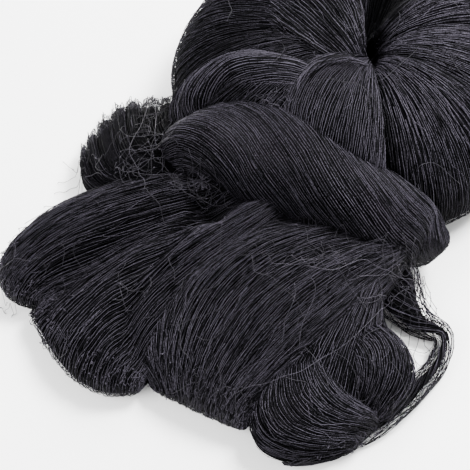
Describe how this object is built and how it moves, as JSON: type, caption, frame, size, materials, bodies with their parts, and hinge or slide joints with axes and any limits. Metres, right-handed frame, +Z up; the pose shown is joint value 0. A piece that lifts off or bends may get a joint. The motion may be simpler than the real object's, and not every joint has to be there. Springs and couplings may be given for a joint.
{
  "type": "bird netting hank",
  "caption": "Hank of black knotted bird netting, folded and gathered into a round bun and fanned folds, held by its own twisted wrap, with a pleated loose end.",
  "frame": {"origin": "on the surface the hank lies on, under the wrap where the folds meet the bun", "axes": "+Z up from the surface, +Y from the fanned folds towards the bun, +X towards the wrap's tucked end"},
  "size_m": [0.3393, 0.3624, 0.0902],
  "materials": {
    "netting_hank": "black knotted nylon net, gathered",
    "netting_fan_end": "black knotted nylon net, pleated"
  },
  "bodies": {
    "root": {"hank": "netting_hank", "fan_end": "netting_fan_end"}
  },
  "joints": []
}
